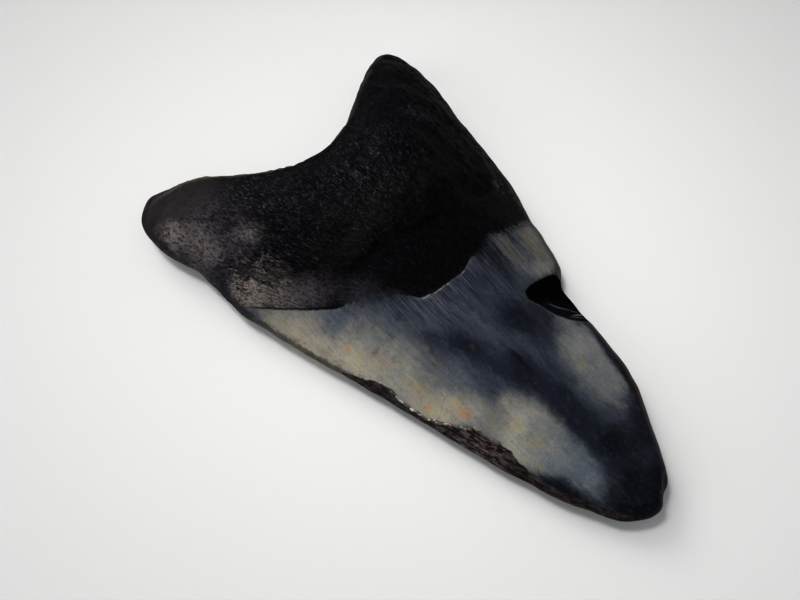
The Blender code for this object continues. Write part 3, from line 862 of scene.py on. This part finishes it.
def edges_marked(board, skin, base, from_edge, patchy):
    """Painted shade, dark grey, on the rolled left edge, brown edges, a dark shade inside the right one, and
    a tan stain beside the neck.
    """
    def along_edge(spot, inner, outer):
        return skin.cloud(skin.place, *spot) * from_edge.from_to(inner, outer)

    # Dark grey painted shade where the left edge rolls under, and along a thin line below it.
    rolled = (along_edge(LEFT_ROLL_SHADE, 1.4, 0.6) * 0.8).at_least(along_edge(LEFT_LINE, 0.8, 0.3) * 0.7)
    base = board.mix(rolled, base, ROLLED_EDGE_SHADE)
    base = board.mix(along_edge(LEFT_RUST, 1.6, 0.9) * patchy * 0.3, base, BROWN_EDGE)
    base = board.mix(along_edge(RIGHT_SHADE, 3.6, 1.4) * 0.6, base, INK)
    base = board.mix(along_edge(RIGHT_BROWN, 2.5, 1.5) * (0.7 + 0.2 * patchy), base, BROWN_EDGE)
    base = board.mix(along_edge(ROOT_BROWN, 2.0, 0.8) * (0.25 + 0.4 * patchy), base, BROWN_EDGE)
    base = board.mix(skin.cloud(skin.nudged, *RIGHT_STAIN) * patchy * 0.3, base, TAN)
    return board.mix(skin.cloud(skin.nudged, *RIGHT_RUST) * patchy * 0.25, base, RUST)


def broken_edge(board, skin, base, ragged, patchy):
    """The raw splintered strip along the left edge, with a bright rim, partly pale broken enamel and partly
    painted glints. Also its mask and its grooves.
    """
    broken = skin.zone("broken") + ragged * 0.6 + 0.12
    on_break = broken.from_to(-0.05, 0.12)
    turned = board.turned(skin.place, turn=BREAK_TURN)
    grooves = board.noise(turned, (0.4, 2.0, 1.0), detail=4.0, rough=0.7, seed=51)
    splinters = board.noise(skin.place, 0.7, detail=3.0, rough=0.65, seed=53)
    opened = 0.32 + 0.53 * skin.cloud(skin.place, *OPEN_BREAK)
    raw = board.mix(grooves.from_to(0.42, 0.62) * opened, BROKEN_BROWN, BROKEN_GREY)
    raw = board.mix(splinters.from_to(0.58, 0.7) * 0.4, raw, BONE_BROWN)
    raw = board.mix(splinters.from_to(0.45, 0.35) * 0.6, raw, BONE_BLACK)
    base = board.mix(on_break, base, raw)
    # The rim: pale broken enamel with painted glints along it.
    rim = broken.from_to(0.0, 0.14) * broken.from_to(0.38, 0.24) * skin.cloud(skin.place, *BRIGHT_BREAK)
    return board.mix(rim * (0.2 + 0.8 * patchy), base, FRESH_EDGE_AND_GLINT), on_break, grooves


def chipped(board, skin, base, ragged):
    """The chip in the right edge, black from its dark core and painted shade in its hollow, navy with thin
    ripples of painted sheen on its lower side, and its mask.
    """
    depth = skin.zone("flaked") + ragged * 0.3
    lower_scar = skin.cloud(skin.place, *LOWER_SCAR)
    flaked = board.number_mix(lower_scar, depth.from_to(0.05, 0.35), depth.from_to(-0.1, 0.5))
    flaked = flaked * skin.zone("enamel").from_to(50.0, 40.0)
    scar = board.mix(lower_scar * 0.8, CHIP_BLACK_SHADE, CHIP_NAVY)
    for middle, halves, turn, strength in CHIP_RIPPLES:
        ripple = skin.cloud(skin.place, middle, halves, turn, RIPPLE_SOFT)
        scar = board.mix(ripple * strength, scar, CHIP_GREY)
    return board.mix(flaked, base, scar), flaked


def fossil_finish(middle):
    """Black bone, a dark neck band, clouded slate enamel and raw broken edges, in one finish."""
    material = bpy.data.materials.new("fossil finish")
    material.use_nodes = True
    board = Board(material.node_tree)
    skin = Skin(board, middle)
    streaks = board.noise(skin.place, (0.32, 9.0, 3.0), detail=3.0, rough=0.65, seed=7)
    dashes = board.noise(skin.fanned, (0.5, 1.5, 0.9), detail=2.0, rough=0.6, seed=21)
    weave = board.noise(skin.fanned, (1.0, 2.4, 1.2), detail=4.0, rough=0.65, seed=23)
    ragged = board.noise(skin.place, 0.9, detail=3.0, seed=31) - 0.5
    patchy = board.noise(skin.place, 1.6, detail=2.0, seed=61).from_to(0.5, 0.6)

    at_line, in_enamel = neck_line(board, skin, ragged)
    bone, enamel = bone_colour(board, skin, dashes, weave, ragged), enamel_colour(board, skin, streaks)
    base = line_marked(board, skin, board.mix(in_enamel, bone, enamel), at_line, patchy)
    from_edge = skin.zone("from_edge") + ragged
    base = edges_marked(board, skin, base, from_edge, patchy)
    base, on_break, grooves = broken_edge(board, skin, base, ragged, patchy)
    base, flaked = chipped(board, skin, base, ragged)

    roughness = board.number_mix(in_enamel, 0.4 + 0.3 * weave, 0.42)
    roughness = board.number_mix(on_break, roughness, 0.42).at_least(flaked)
    polished = in_enamel * (1 - on_break) * (1 - flaked) * from_edge.from_to(1.8, 4.2)
    gloss = polished * 0.2 + 0.4 * on_break * patchy

    bone_height = (1 - in_enamel) * (dashes * 0.4 + weave * 0.6) * skin.zone("facet").from_to(0.3, -0.3)
    height = bone_height + in_enamel * streaks * 0.03 + on_break * grooves * 0.8
    bump = board.node("ShaderNodeBump", Strength=1.0, Distance=BUMP_DEPTH * MM, Height=height)

    shader = material.node_tree.nodes["Principled BSDF"]
    wires = {"Base Color": base, "Roughness": roughness, "Coat Weight": gloss, "Normal": bump}
    for name, wire in wires.items():
        material.node_tree.links.new(wire.socket, shader.inputs[name])
    shader.inputs["Specular IOR Level"].default_value = 0.07
    shader.inputs["Coat Roughness"].default_value = 0.25
    return material


# ---------------------------------------------------------------------------
# Stage, lights and camera. Right, forward and up are as the camera sees them from its place.

LOOK_AT = Vector((-6.43, 6.57, 0.0)) * MM
HEADING, ELEVATION, DISTANCE = math.radians(41.95), math.radians(60.0), 195.6 * MM
VIEW_WIDTH = math.radians(50.0)
FLOOR_RADIUS, FLOOR_TONE = 3.0, (0.8, 0.8, 0.79, 1.0)
WHITE = (1.0, 1.0, 1.0)
ROOM_LOW, ROOM_HIGH, ROOM_FADES_AT = (0.5, 0.51, 0.52, 1.0), (0.24, 0.24, 0.25, 1.0), 0.6
FORWARD = Vector((math.sin(HEADING), math.cos(HEADING), 0))
RIGHT = Vector((math.cos(HEADING), -math.sin(HEADING), 0))
UP = Vector((0, 0, 1))


def spot_at(right, forward, up):
    return LOOK_AT + RIGHT * right + FORWARD * forward + UP * up


def aim(made, target):
    made.rotation_euler = (target - made.location).to_track_quat("-Z", "Y").to_euler()


def hang(lamp, place, target=(0, 0)):
    """Hangs a lamp at a place, in metres right, forward and up of the spot looked at, and aims it."""
    made = bpy.data.objects.new(lamp.name, lamp)
    made.location = spot_at(*place)
    aim(made, spot_at(*target, 0))
    bpy.context.scene.collection.objects.link(made)


def soft_light(name, place, size, power, tone):
    """A broad panel of light that faces the tooth."""
    lamp = bpy.data.lights.new(name, "AREA")
    lamp.shape, lamp.size, lamp.size_y = "RECTANGLE", *size
    lamp.energy, lamp.color = power, tone
    hang(lamp, place)


def pool_of_light(name, place, target, spread, power, tone):
    """A soft round pool of light on the floor."""
    lamp = bpy.data.lights.new(name, "SPOT")
    lamp.spot_size, lamp.spot_blend, lamp.shadow_soft_size = math.radians(spread), 1.0, 0.1
    lamp.energy, lamp.color = power, tone
    hang(lamp, place, target)


def add_camera():
    lens = bpy.data.cameras.new("camera")
    lens.sensor_width, lens.angle = 36.0, VIEW_WIDTH
    lens.clip_start = 0.01
    camera = bpy.data.objects.new("camera", lens)
    camera.location = spot_at(0, -DISTANCE * math.cos(ELEVATION), DISTANCE * math.sin(ELEVATION))
    aim(camera, LOOK_AT)
    bpy.context.scene.collection.objects.link(camera)
    bpy.context.scene.camera = camera


def add_stage():
    shape = bmesh.new()
    bmesh.ops.create_circle(shape, cap_ends=True, segments=96, radius=FLOOR_RADIUS)
    mesh = bpy.data.meshes.new("floor")
    shape.to_mesh(mesh)
    shape.free()
    material = bpy.data.materials.new("pale sheet")
    material.use_nodes = True
    shader = material.node_tree.nodes["Principled BSDF"]
    shader.inputs["Base Color"].default_value = FLOOR_TONE
    shader.inputs["Roughness"].default_value = 1.0
    shader.inputs["Specular IOR Level"].default_value = 0.0
    mesh.materials.append(material)
    floor = bpy.data.objects.new("floor", mesh)
    bpy.context.scene.collection.objects.link(floor)


def add_world():
    """A dim room that grows paler towards the horizon."""
    world = bpy.data.worlds.new("room")
    world.use_nodes = True
    bpy.context.scene.world = world
    board = Board(world.node_tree)
    height = board.node("ShaderNodeSeparateXYZ", out=2, Vector=board.node("ShaderNodeTexCoord", out=0))
    tone = board.mix(height.from_to(0.0, ROOM_FADES_AT), ROOM_LOW, ROOM_HIGH)
    world.node_tree.links.new(tone.socket, world.node_tree.nodes["Background"].inputs["Color"])


# ---------------------------------------------------------------------------
# The tooth on its stage

tooth = finished_tooth()
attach(tooth, "root")
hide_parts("tooth")

add_stage()
add_world()
soft_light("window", place=(-0.99, 1.10, 1.10), size=(1.1, 0.9), power=11.0, tone=(1.0, 0.98, 0.95))
soft_light("side", place=(-0.60, -0.25, 0.30), size=(0.5, 0.35), power=0.8, tone=(0.96, 0.98, 1.0))
pool_of_light("over", place=(-0.20, 0.10, 0.60), target=(0.01, 0.012), spread=26.0, power=7.8, tone=WHITE)
add_camera()
bpy.context.scene.view_settings.view_transform = "Standard"
bpy.context.scene.view_settings.look = "High Contrast"
